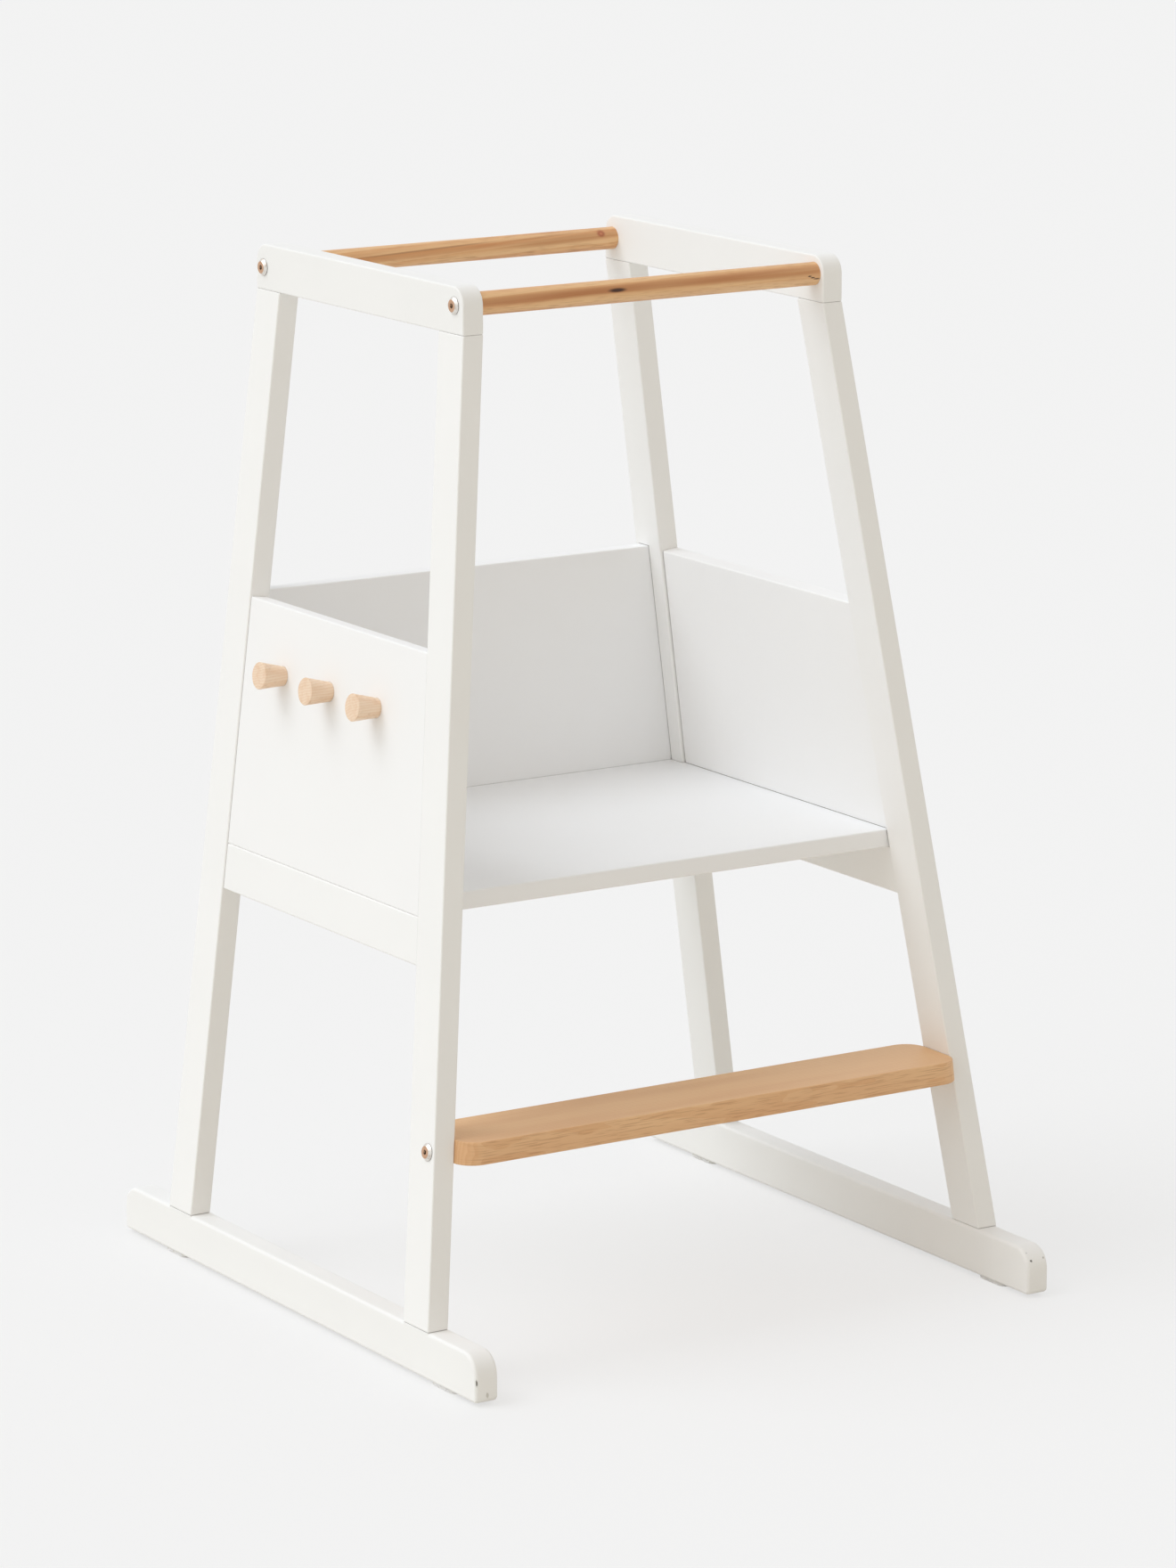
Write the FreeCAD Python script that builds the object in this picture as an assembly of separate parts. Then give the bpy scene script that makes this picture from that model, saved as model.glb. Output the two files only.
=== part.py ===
import FreeCAD, Part
import math
import os

# Toddler's kitchen helper tower: two leaning side frames of painted wood, joined by two grab bars, a back
# panel, a standing platform and a front step.  Millimetres, +Z up, origin on the floor at the middle of the
# rectangle that the runners cover.  The child climbs in from -Y.  "Right" is the +X side frame and "left" is
# the -X one.  Each frame is drawn once, on the right, and mirrored.

os.makedirs("parts", exist_ok=True)
Vector = FreeCAD.Vector
X_AXIS = Vector(1, 0, 0)
Y_AXIS = Vector(0, 1, 0)
Z_AXIS = Vector(0, 0, 1)
FLOOR_CENTRE = Vector(0, 0, 0)

# ---- driving dimensions -------------------------------------------------------------------------------------

# Side frames
OVERALL_HEIGHT = 900.0        # floor to the top of the top rails
BASE_WIDTH = 584.0            # over the outsides of the two runners
TOP_WIDTH = 380.0             # over the outsides of the two top rails
FRAME_BOARD = 20.0            # thickness of top rails and legs, measured level
RUNNER_BOARD = 22.0           # thickness of the runners, flush with the legs outside
RUNNER_LENGTH = 610.0
RUNNER_HEIGHT = 41.0
RUNNER_CORNER = 20.0          # radius of the runner's two upper corners
RUNNER_LOWER_CORNER = 4.0
FRONT_FOOT_INSET = 76.5       # runner's front end to the front leg
REAR_LEG_INSET = 83.5         # runner's rear end to the rear leg
TOP_RAIL_LENGTH = 348.0
TOP_RAIL_HEIGHT = 40.0
TOP_RAIL_CORNER = 16.0        # radius of the top rail's two upper corners
FRONT_LEG_WIDTH = 40.0        # measured square to the raked leg
REAR_LEG_WIDTH = 40.0

# Side panels and the lower rails under them
PANEL_TOP = 596.0             # height of the side panels' outer top edge and of the back panel
PANEL_BOARD = 16.0
PANEL_SETBACK = 1.0           # panel face behind the leg's outer face
LOWER_RAIL_HEIGHT = 40.0

# Platform and back panel
PLATFORM_TOP = 394.0
PLATFORM_BOARD = 16.0
BACK_BOARD = 16.0
BACK_INSET = 18.5             # rear leg's front edge to the back panel's face
HOUSING_DEPTH = 6.0           # grooves that take the platform and the back panel
HOUSING_CLEARANCE = 0.4       # all round a board in its groove

# Front step
STEP_TOP = 200.5
STEP_BOARD = 20.0
STEP_DEPTH = 75.0
STEP_OVERHANG = 18.5          # step's front edge in front of the legs
STEP_CORNER = 20.0

# Grab bars
BAR_DIAMETER = 20.0
FRONT_BAR_SETBACK = 14.0      # top rail's front end to the bar's axis
FRONT_BAR_DROP = 16.0         # top of the rail to the bar's axis
REAR_BAR_SETBACK = 12.5
REAR_BAR_DROP = 20.5

# Pegs on the left panel
PEG_COUNT = 3
PEG_SPACING = 80.0
REAR_PEG_INSET = 67.5         # rear leg's front edge to the rearmost peg's axis
PEG_HEIGHT = 537.0            # height of each peg's axis on the panel's outer face
PEG_LENGTH = 24.0
PEG_ROOT_DIAMETER = 17.0
PEG_TIP_DIAMETER = 24.0
PEG_TIP_ROUND = 0.8
PEG_TENON_DIAMETER = 10.0
PEG_TENON_LENGTH = 12.0

# Connector bolts and the threaded inserts they screw into
BOLT_DIAMETER = 6.0
BOLT_HOLE_CLEARANCE = 0.4     # on the diameter, through the rail or leg
BOLT_HEAD_DIAMETER = 15.0
BOLT_HEAD_TOP_DIAMETER = 10.6
BOLT_HEAD_HEIGHT = 2.8
BOLT_RIM_HEIGHT = 0.6         # straight rim under the head's bevel
BOLT_SOCKET_FLATS = 4.0
BOLT_SOCKET_DEPTH = 2.0
BOLT_REACH = 25.0             # length of bolt past the rail or leg
BOLT_END_SPACE = 2.0          # empty hole past the bolt's end
INSERT_DIAMETER = 9.0
INSERT_LENGTH = 13.0
STEP_BOLT_SETBACK = 10.5      # front edge of the leg to the bolt's axis
STEP_BOLT_DROP = 9.5          # step's top to the bolt's axis at the leg's outer face

# Wooden dowels in the glued joints
DOWEL_DIAMETER = 8.0
DOWEL_LENGTH = 25.0
DOWEL_PAIR_SPACING = 20.0     # between the two dowels of one joint
DOWEL_END_SPACE = 1.0         # glue space at each end of a dowel
PANEL_DOWEL_INSET = 45.0      # panel's top and bottom edges to its dowels
STEP_PIN_SETBACK = 11.0       # leg's back edge to the locating pin's axis
STEP_PIN_IN_LEG = 10.0        # depth of the locating pin in the leg
THIN_DOWEL_DIAMETER = 6.0     # between the platform and the back panel
THIN_DOWEL_IN_BACK = 8.0
THIN_DOWEL_SPACING = 150.0
THIN_DOWEL_COUNT = 3

# Floor glides
GLIDE_LENGTH = 40.0
GLIDE_WIDTH = 18.0
GLIDE_HEIGHT = 3.0
GLIDE_CHAMFER = 0.8
GLIDE_PIN_DIAMETER = 3.0
GLIDE_PIN_LENGTH = 14.0
GLIDE_PIN_SPACING = 22.0
FRONT_GLIDE_INSET = 59.0      # runner's front end to the glide's middle
REAR_GLIDE_INSET = 88.0

# Worked edges
EDGE_ROUND = 1.5              # exposed edges of legs, top rails, panels and platform
RUNNER_EDGE_ROUND = 3.0
STEP_EDGE_ROUND = 1.2
JOINT_EASE = 1.2              # round the outlines of boards that meet another, which leaves a fine groove

# ---- values that follow from them ---------------------------------------------------------------------------

FOOT_LEVEL = GLIDE_HEIGHT + RUNNER_HEIGHT
RAIL_UNDERSIDE = OVERALL_HEIGHT - TOP_RAIL_HEIGHT
LEG_RISE = RAIL_UNDERSIDE - FOOT_LEVEL
LEAN = (BASE_WIDTH - TOP_WIDTH) / 2 / LEG_RISE              # inward run of a frame for each unit of rise
LEAN_ANGLE = math.atan(LEAN)
INWARD = Vector(-math.cos(LEAN_ANGLE), 0, -math.sin(LEAN_ANGLE))   # square into the right frame's boards

RUNNER_FRONT = -RUNNER_LENGTH / 2
RUNNER_REAR = RUNNER_LENGTH / 2
FRONT_FOOT = RUNNER_FRONT + FRONT_FOOT_INSET
REAR_LEG_BACK = RUNNER_REAR - REAR_LEG_INSET
REAR_LEG_FRONT = REAR_LEG_BACK - REAR_LEG_WIDTH
TOP_RAIL_FRONT = REAR_LEG_BACK - TOP_RAIL_LENGTH
RAKE = (TOP_RAIL_FRONT - FRONT_FOOT) / LEG_RISE             # backward run of the front leg per unit of rise
FRONT_LEG_RUN = FRONT_LEG_WIDTH * math.sqrt(1 + RAKE ** 2)  # its width measured level

PLATFORM_UNDERSIDE = PLATFORM_TOP - PLATFORM_BOARD
LOWER_RAIL_TOP = PLATFORM_UNDERSIDE
LOWER_RAIL_BOTTOM = LOWER_RAIL_TOP - LOWER_RAIL_HEIGHT
PANEL_INNER_DEPTH = PANEL_SETBACK + PANEL_BOARD
HOUSING_FLOOR_DEPTH = PANEL_INNER_DEPTH - HOUSING_DEPTH
BACK_FACE = REAR_LEG_FRONT + BACK_INSET
BACK_BOTTOM = LOWER_RAIL_BOTTOM
STEP_UNDERSIDE = STEP_TOP - STEP_BOARD
TOP_INNER_X = TOP_WIDTH / 2 - FRAME_BOARD
BOLT_HOLE_DIAMETER = BOLT_DIAMETER + BOLT_HOLE_CLEARANCE
OVERCUT = 5.0                 # how far a cutting solid runs past the face that it cuts


# ---- places on the right frame ------------------------------------------------------------------------------

def face_x(z, depth):
    """X of the plane that lies at a square depth behind the frame's leaning outer face, at height z."""
    return BASE_WIDTH / 2 - (z - FOOT_LEVEL) * LEAN - depth / math.cos(LEAN_ANGLE)


def leg_inner_x(z):
    """X of the legs' inner faces at height z."""
    return face_x(z, 0) - FRAME_BOARD


def front_leg_front(z):
    """Y of the front leg's front edge at height z."""
    return FRONT_FOOT + (z - FOOT_LEVEL) * RAKE


def front_leg_back(z):
    """Y of the front leg's back edge at height z."""
    return front_leg_front(z) + FRONT_LEG_RUN


def rear_leg_front(z):
    """Y of the upright rear leg's front edge, the same at every height."""
    return REAR_LEG_FRONT


def square_cut(z, depth):
    """Height, at a depth behind the outer face, of an edge cut square across a leaning board."""
    return z - depth * math.sin(LEAN_ANGLE)


def outer_face_point(y, z):
    """Point on the legs' outer face."""
    return Vector(face_x(z, 0), y, z)


# ---- small solid builders -----------------------------------------------------------------------------------

def ring(points):
    """Closed wire through the points."""
    return Part.makePolygon(points + points[:1])


def face_away_from(centre, corners):
    """Flat face through the corners, facing away from the centre."""
    face = Part.Face(ring(corners))
    middle = face.CenterOfMass
    if face.normalAt(*face.Surface.parameter(middle)).dot(middle - centre) < 0:
        face = Part.Face(ring(corners[::-1]))
    return face


def block_between(first, second):
    """Flat-sided solid between two rings of matching corners."""
    corners = first + second
    centre = sum(corners, Vector()) * (1 / len(corners))
    outlines = [first, second]
    for i in range(len(first)):
        j = (i + 1) % len(first)
        outlines.append([first[i], first[j], second[j], second[i]])
    shell = Part.makeShell([face_away_from(centre, outline) for outline in outlines])
    shell.sewShape()
    return Part.makeSolid(shell)


def rod(start, direction, diameter, length):
    """Round rod from its start point along a direction."""
    return Part.makeCylinder(diameter / 2, length, start, direction)


def mirrored(shape):
    """The same shape on the other side of the tower."""
    return shape.mirror(FLOOR_CENTRE, X_AXIS)


def both_sides(shapes):
    """Right-hand shapes with their left-hand twins."""
    return list(shapes) + [mirrored(shape) for shape in shapes]


def rounded(shape, radius, wanted):
    """Round the edges of a shape that the test picks."""
    return shape.makeFillet(radius, [edge for edge in shape.Edges if wanted(edge)])


def cut_all(shape, tools):
    """Take every tool out of a shape."""
    for tool in tools:
        shape = shape.cut(tool)
    return shape


# ---- rails and runners, which stand upright -----------------------------------------------------------------

def round_corners(board, radius, level):
    """Round the two corners of an upright board that lie at a level, as seen from the side."""
    return rounded(board, radius, lambda edge: edge.BoundBox.XLength > FRAME_BOARD / 2
                   and abs(edge.CenterOfMass.z - level) < 0.01)


def leg_seats(z, direction):
    """Prisms that carry the two legs' end sections on, past a joint at height z."""
    seats = []
    for leg in (make_front_leg(), make_rear_leg()):
        section = [face for face in leg.Faces if abs(face.CenterOfMass.z - z) < 0.01]
        seats += [face.extrude(direction * (2 * RUNNER_EDGE_ROUND)) for face in section]
    return seats


def make_top_rail():
    rail = Part.makeBox(FRAME_BOARD, TOP_RAIL_LENGTH, TOP_RAIL_HEIGHT,
                        Vector(TOP_INNER_X, TOP_RAIL_FRONT, RAIL_UNDERSIDE))
    rail = round_corners(rail, TOP_RAIL_CORNER, OVERALL_HEIGHT)
    rail = rounded(rail, EDGE_ROUND, lambda edge: edge.BoundBox.XLength < 0.01
                   and edge.BoundBox.ZMax > RAIL_UNDERSIDE + 0.01)
    return rounded(rail, JOINT_EASE, lambda edge: edge.BoundBox.ZMax < RAIL_UNDERSIDE + 0.01
                   and edge.BoundBox.YLength > TOP_RAIL_LENGTH / 2)


def make_runner():
    """Runner with all its edges rounded, but kept sharp where the legs stand flush on it."""
    sharp = Part.makeBox(RUNNER_BOARD, RUNNER_LENGTH, RUNNER_HEIGHT,
                         Vector(BASE_WIDTH / 2 - RUNNER_BOARD, RUNNER_FRONT, GLIDE_HEIGHT))
    runner = round_corners(sharp, RUNNER_CORNER, FOOT_LEVEL)
    runner = round_corners(runner, RUNNER_LOWER_CORNER, GLIDE_HEIGHT)
    runner = rounded(runner, RUNNER_EDGE_ROUND, lambda edge: edge.BoundBox.XLength < 0.01)
    for seat in leg_seats(FOOT_LEVEL, Z_AXIS * -1):
        runner = runner.fuse(sharp.common(seat))
    return runner.removeSplitter()


# ---- legs, which lean in and meet the rails flush -----------------------------------------------------------

def leg_ring(z, front, back):
    """Level section of a leg at height z."""
    outer, inner = face_x(z, 0), leg_inner_x(z)
    return [Vector(outer, front(z), z), Vector(outer, back(z), z), Vector(inner, back(z), z),
            Vector(inner, front(z), z)]


def make_leg(front, back):
    """Leg from the runner to the top rail, with its long edges rounded."""
    leg = block_between(leg_ring(FOOT_LEVEL, front, back), leg_ring(RAIL_UNDERSIDE, front, back))
    return rounded(leg, EDGE_ROUND, lambda edge: edge.BoundBox.ZLength > LEG_RISE / 2)


def ease_ends(board, levels):
    """Round the outline of a board's flat ends at the given levels."""
    return rounded(board, JOINT_EASE, lambda edge: edge.BoundBox.ZLength < 0.01
                   and min(abs(edge.CenterOfMass.z - level) for level in levels) < 0.01)


def make_front_leg():
    return make_leg(front_leg_front, front_leg_back)


def make_rear_leg():
    return make_leg(rear_leg_front, lambda z: REAR_LEG_BACK)


# ---- boards that fill the frame between the legs ------------------------------------------------------------

def leaning_board(low, high, outer_depth, inner_depth):
    """Board between the legs, from low(depth) to high(depth), parallel to the frame's outer face."""
    faces = []
    for depth in (outer_depth, inner_depth):
        bottom, top = low(depth), high(depth)
        faces.append([Vector(face_x(z, depth), edge(z), z) for edge, z in (
            (front_leg_back, bottom), (rear_leg_front, bottom), (rear_leg_front, top), (front_leg_back, top))])
    return block_between(*faces)


def runs_fore_and_aft(edge):
    """True for an edge that runs along Y."""
    box = edge.BoundBox
    return box.YLength > max(box.XLength, box.ZLength)


def ease_outline(board, exposed):
    """Round a leaning board's exposed long edges and put a small chamfer on the rest of its outline."""
    joints = [edge for edge in board.Edges if not exposed(edge) and edge.Length > 2 * PANEL_BOARD]
    board = board.makeChamfer(JOINT_EASE, joints)
    return rounded(board, EDGE_ROUND, lambda edge: exposed(edge) and edge.Length > LOWER_RAIL_HEIGHT)


def make_lower_rail():
    rail = leaning_board(lambda depth: square_cut(LOWER_RAIL_BOTTOM, depth), lambda depth: LOWER_RAIL_TOP,
                         PANEL_SETBACK, PANEL_INNER_DEPTH)
    middle = (LOWER_RAIL_BOTTOM + LOWER_RAIL_TOP) / 2
    return ease_outline(rail, lambda edge: runs_fore_and_aft(edge) and edge.CenterOfMass.z < middle)


def make_side_panel():
    """Panel over the lower rail, rebated inside at the bottom to take the platform's edge."""
    panel = leaning_board(lambda depth: LOWER_RAIL_TOP, lambda depth: square_cut(PANEL_TOP, depth),
                          PANEL_SETBACK, PANEL_INNER_DEPTH)
    middle = (LOWER_RAIL_TOP + PANEL_TOP) / 2
    panel = ease_outline(panel, lambda edge: runs_fore_and_aft(edge) and edge.CenterOfMass.z > middle)
    rebate_top = PLATFORM_TOP + HOUSING_CLEARANCE
    front, back = front_leg_back(LOWER_RAIL_TOP) - OVERCUT, REAR_LEG_FRONT + OVERCUT
    rings = []
    for z in (LOWER_RAIL_TOP - OVERCUT, rebate_top):
        outer, inner = face_x(z, HOUSING_FLOOR_DEPTH), face_x(z, PANEL_INNER_DEPTH) - OVERCUT
        rings.append([Vector(outer, front, z), Vector(outer, back, z), Vector(inner, back, z),
                      Vector(inner, front, z)])
    return panel.cut(block_between(*rings))


# ---- dowels of the glued side frame -------------------------------------------------------------------------

def dowel_at(joint_point, direction, length, diameter, extra=0.0):
    """Dowel centred on a joint, or with extra length at both ends, the hole that takes it."""
    start = joint_point - direction * (length / 2 + extra)
    return rod(start, direction, diameter, length + 2 * extra)


def frame_joint_places():
    """Middle point and direction of every glued dowel of one side frame."""
    places = []
    half = DOWEL_PAIR_SPACING / 2
    for front, back in ((front_leg_front, front_leg_back), (rear_leg_front, lambda z: REAR_LEG_BACK)):
        for z in (FOOT_LEVEL, RAIL_UNDERSIDE):
            middle_x = (face_x(z, 0) + leg_inner_x(z)) / 2
            middle_y = (front(z) + back(z)) / 2
            places += [(Vector(middle_x, middle_y + offset, z), Z_AXIS) for offset in (-half, half)]
    board_middle = PANEL_SETBACK + PANEL_BOARD / 2
    rail_middle = (LOWER_RAIL_BOTTOM + LOWER_RAIL_TOP) / 2
    heights = [rail_middle - half, rail_middle + half]
    heights += [LOWER_RAIL_TOP + PANEL_DOWEL_INSET, PANEL_TOP - PANEL_DOWEL_INSET]
    for z in heights:
        places += [(Vector(face_x(z, board_middle), edge(z), z), Y_AXIS)
                   for edge in (front_leg_back, rear_leg_front)]
    return places


def make_frame_dowels():
    return [dowel_at(point, direction, DOWEL_LENGTH, DOWEL_DIAMETER) for point, direction in frame_joint_places()]


def frame_dowel_holes():
    return [dowel_at(point, direction, DOWEL_LENGTH, DOWEL_DIAMETER, DOWEL_END_SPACE)
            for point, direction in frame_joint_places()]


# ---- connector bolts ----------------------------------------------------------------------------------------

def hexagon_prism(centre, direction, flats, length):
    """Six-sided prism, used for the bolt's socket."""
    radius = flats / math.sqrt(3)
    corners = [Vector(radius * math.cos(math.radians(60 * i)), radius * math.sin(math.radians(60 * i)), 0)
               for i in range(6)]
    prism = Part.Face(ring(corners)).extrude(Vector(0, 0, length))
    prism.Placement = FreeCAD.Placement(centre, FreeCAD.Rotation(Z_AXIS, direction))
    return prism


def make_bolt(seat, inward, grip):
    """Flat-headed bolt: its head sits on the seat point, its shank runs inward through the grip and on."""
    outward = inward * -1
    bevel_height = BOLT_HEAD_HEIGHT - BOLT_RIM_HEIGHT
    head = rod(seat, outward, BOLT_HEAD_DIAMETER, BOLT_RIM_HEIGHT).fuse(
        Part.makeCone(BOLT_HEAD_DIAMETER / 2, BOLT_HEAD_TOP_DIAMETER / 2, bevel_height,
                      seat + outward * BOLT_RIM_HEIGHT, outward))
    socket_floor = seat + outward * (BOLT_HEAD_HEIGHT - BOLT_SOCKET_DEPTH)
    head = head.cut(hexagon_prism(socket_floor, outward, BOLT_SOCKET_FLATS, BOLT_SOCKET_DEPTH + OVERCUT))
    return head.fuse(rod(seat, inward, BOLT_DIAMETER, grip + BOLT_REACH)).removeSplitter()


def bolt_clearance(seat, inward, grip):
    """Hole for a bolt through the board that it grips."""
    return rod(seat - inward * OVERCUT, inward, BOLT_HOLE_DIAMETER, grip + 2 * OVERCUT)


def insert_hole(mouth, inward):
    """Stepped hole: wide for the insert at its mouth, then narrow for the bolt's end."""
    wide = rod(mouth - inward * OVERCUT, inward, INSERT_DIAMETER, INSERT_LENGTH + OVERCUT)
    return wide.fuse(rod(mouth, inward, BOLT_HOLE_DIAMETER, BOLT_REACH + BOLT_END_SPACE))


def make_insert(mouth, inward):
    """Threaded insert, drawn as a plain sleeve round the bolt."""
    return rod(mouth, inward, INSERT_DIAMETER, INSERT_LENGTH).cut(
        rod(mouth, inward, BOLT_DIAMETER, INSERT_LENGTH))


# ---- grab bars ----------------------------------------------------------------------------------------------

FRONT_BAR = (TOP_RAIL_FRONT + FRONT_BAR_SETBACK, OVERALL_HEIGHT - FRONT_BAR_DROP)
REAR_BAR = (REAR_LEG_BACK - REAR_BAR_SETBACK, OVERALL_HEIGHT - REAR_BAR_DROP)
BAR_PLACES = (FRONT_BAR, REAR_BAR)
TO_MIDDLE = X_AXIS * -1       # from the right frame towards the tower's middle


def bar_seats():
    """Bolt seats on the right top rail's outer face."""
    return [Vector(TOP_WIDTH / 2, y, z) for y, z in BAR_PLACES]


def make_grab_bar(y, z):
    """Round bar between the top rails, with an insert hole in each end."""
    bar = rod(Vector(-TOP_INNER_X, y, z), X_AXIS, BAR_DIAMETER, 2 * TOP_INNER_X)
    return cut_all(bar, both_sides([insert_hole(Vector(TOP_INNER_X, y, z), TO_MIDDLE)]))


# ---- front step ---------------------------------------------------------------------------------------------

STEP_FRONT = front_leg_front(STEP_TOP) - STEP_OVERHANG
STEP_BACK = STEP_FRONT + STEP_DEPTH
STEP_BOLT_LEVEL = STEP_TOP - STEP_BOLT_DROP
STEP_BOLT_SEAT = outer_face_point(front_leg_front(STEP_BOLT_LEVEL) + STEP_BOLT_SETBACK, STEP_BOLT_LEVEL)
STEP_PIN_AXIS = outer_face_point(front_leg_back(STEP_BOLT_LEVEL) - STEP_PIN_SETBACK, STEP_BOLT_LEVEL)
LEG_THICKNESS = FRAME_BOARD * math.cos(LEAN_ANGLE)          # measured square to the leaning face
STEP_BOLT_MOUTH = STEP_BOLT_SEAT + INWARD * LEG_THICKNESS
STEP_PIN_START = STEP_PIN_AXIS + INWARD * (LEG_THICKNESS - STEP_PIN_IN_LEG)


def make_step_pin(extra=0.0):
    """Wooden pin that stops the step from turning about its bolt, or the hole that takes it."""
    return rod(STEP_PIN_START - INWARD * extra, INWARD, DOWEL_DIAMETER, DOWEL_LENGTH + 2 * extra)


def level_board_ring(z, front, back):
    """Level outline between the two frames' inner faces at height z."""
    half = leg_inner_x(z)
    return [Vector(-half, front, z), Vector(half, front, z), Vector(half, back, z), Vector(-half, back, z)]


def make_step():
    """Step board with round corners, cut at its ends to the lean of the legs."""
    step = block_between(level_board_ring(STEP_UNDERSIDE, STEP_FRONT, STEP_BACK),
                         level_board_ring(STEP_TOP, STEP_FRONT, STEP_BACK))
    step = rounded(step, STEP_CORNER, lambda edge: edge.BoundBox.ZLength > STEP_BOARD / 2)
    step = rounded(step, STEP_EDGE_ROUND, lambda edge: edge.BoundBox.ZLength < STEP_BOARD / 2)
    return cut_all(step, both_sides([insert_hole(STEP_BOLT_MOUTH, INWARD), make_step_pin(DOWEL_END_SPACE)]))


# ---- back panel and platform --------------------------------------------------------------------------------

def back_panel_ring(z, half_width):
    """Level section of the back panel at height z."""
    front, back = BACK_FACE, BACK_FACE + BACK_BOARD
    return [Vector(-half_width, front, z), Vector(half_width, front, z), Vector(half_width, back, z),
            Vector(-half_width, back, z)]


def back_half_width(z):
    """Half width of the back panel, whose ends sit in grooves in the rear legs."""
    return leg_inner_x(z) + HOUSING_DEPTH - HOUSING_CLEARANCE


def thin_dowel_places():
    """Points on the back panel's face where dowels join the platform's rear edge to it."""
    first = -THIN_DOWEL_SPACING * (THIN_DOWEL_COUNT - 1) / 2
    level = PLATFORM_TOP - PLATFORM_BOARD / 2
    return [Vector(first + i * THIN_DOWEL_SPACING, BACK_FACE, level) for i in range(THIN_DOWEL_COUNT)]


def make_thin_dowels(extra=0.0):
    """Dowels between platform and back panel, or the holes that take them."""
    return [rod(point + Y_AXIS * (THIN_DOWEL_IN_BACK + extra), Y_AXIS * -1, THIN_DOWEL_DIAMETER,
                DOWEL_LENGTH + 2 * extra) for point in thin_dowel_places()]


def make_back_panel():
    panel = block_between(back_panel_ring(BACK_BOTTOM, back_half_width(BACK_BOTTOM)),
                          back_panel_ring(PANEL_TOP, back_half_width(PANEL_TOP)))
    panel = rounded(panel, EDGE_ROUND, lambda edge: edge.BoundBox.XLength > TOP_INNER_X)
    return cut_all(panel, make_thin_dowels(DOWEL_END_SPACE))


def back_panel_groove():
    """Groove in the right rear leg for the back panel's end."""
    rings = []
    for z in (BACK_BOTTOM - HOUSING_CLEARANCE, PANEL_TOP + HOUSING_CLEARANCE):
        outer, inner = leg_inner_x(z) + HOUSING_DEPTH, leg_inner_x(z) - OVERCUT
        front, back = BACK_FACE - HOUSING_CLEARANCE, BACK_FACE + BACK_BOARD + HOUSING_CLEARANCE
        rings.append([Vector(inner, front, z), Vector(outer, front, z), Vector(outer, back, z),
                      Vector(inner, back, z)])
    return block_between(*rings)


def platform_ring(z):
    """Outline of the platform at height z: wide between the side panels, narrow between the rear legs."""
    wide = face_x(z, HOUSING_FLOOR_DEPTH) - HOUSING_CLEARANCE
    narrow = leg_inner_x(z) - HOUSING_CLEARANCE
    front = front_leg_back(PLATFORM_TOP) + HOUSING_CLEARANCE
    shoulder = REAR_LEG_FRONT - HOUSING_CLEARANCE
    right = [(wide, front), (wide, shoulder), (narrow, shoulder), (narrow, BACK_FACE)]
    left = [(-x, y) for x, y in reversed(right)]
    return [Vector(x, y, z) for x, y in right + left]


def make_platform():
    platform = block_between(platform_ring(PLATFORM_UNDERSIDE), platform_ring(PLATFORM_TOP))
    front = front_leg_back(PLATFORM_TOP) + HOUSING_CLEARANCE
    platform = rounded(platform, EDGE_ROUND, lambda edge: abs(edge.BoundBox.YMax - front) < 0.01
                       and edge.BoundBox.XLength > TOP_INNER_X)
    return cut_all(platform, make_thin_dowels(DOWEL_END_SPACE))


# ---- pegs ---------------------------------------------------------------------------------------------------

def peg_roots():
    """Points on the right panel's outer face, from front to rear."""
    x = face_x(PEG_HEIGHT, PANEL_SETBACK)
    first = REAR_LEG_FRONT - REAR_PEG_INSET - PEG_SPACING * (PEG_COUNT - 1)
    return [Vector(x, first + i * PEG_SPACING, PEG_HEIGHT) for i in range(PEG_COUNT)]


def make_peg(root):
    """Turned peg, thicker at its tip, with a tenon glued into the panel."""
    outward = INWARD * -1
    body = Part.makeCone(PEG_ROOT_DIAMETER / 2, PEG_TIP_DIAMETER / 2, PEG_LENGTH, root, outward)
    tip = root + outward * PEG_LENGTH
    body = rounded(body, PEG_TIP_ROUND, lambda edge: edge.CenterOfMass.distanceToPoint(tip) < 0.01
                   and len(edge.Vertexes) == 1)
    return body.fuse(rod(root, INWARD, PEG_TENON_DIAMETER, PEG_TENON_LENGTH)).removeSplitter()


def peg_hole(root):
    """Blind hole for a peg's tenon."""
    return rod(root - INWARD * OVERCUT, INWARD, PEG_TENON_DIAMETER,
               PEG_TENON_LENGTH + DOWEL_END_SPACE + OVERCUT)


# ---- floor glides -------------------------------------------------------------------------------------------

def glide_places():
    """Middle points of the right runner's glides, on the floor."""
    middle = (BASE_WIDTH - RUNNER_BOARD) / 2
    return [Vector(middle, RUNNER_FRONT + FRONT_GLIDE_INSET, 0), Vector(middle, RUNNER_REAR - REAR_GLIDE_INSET, 0)]


def glide_pin_places(place):
    """Points on the runner's underside where a glide's two pins go in."""
    return [place + Vector(0, offset, GLIDE_HEIGHT) for offset in (-GLIDE_PIN_SPACING / 2, GLIDE_PIN_SPACING / 2)]


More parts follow.
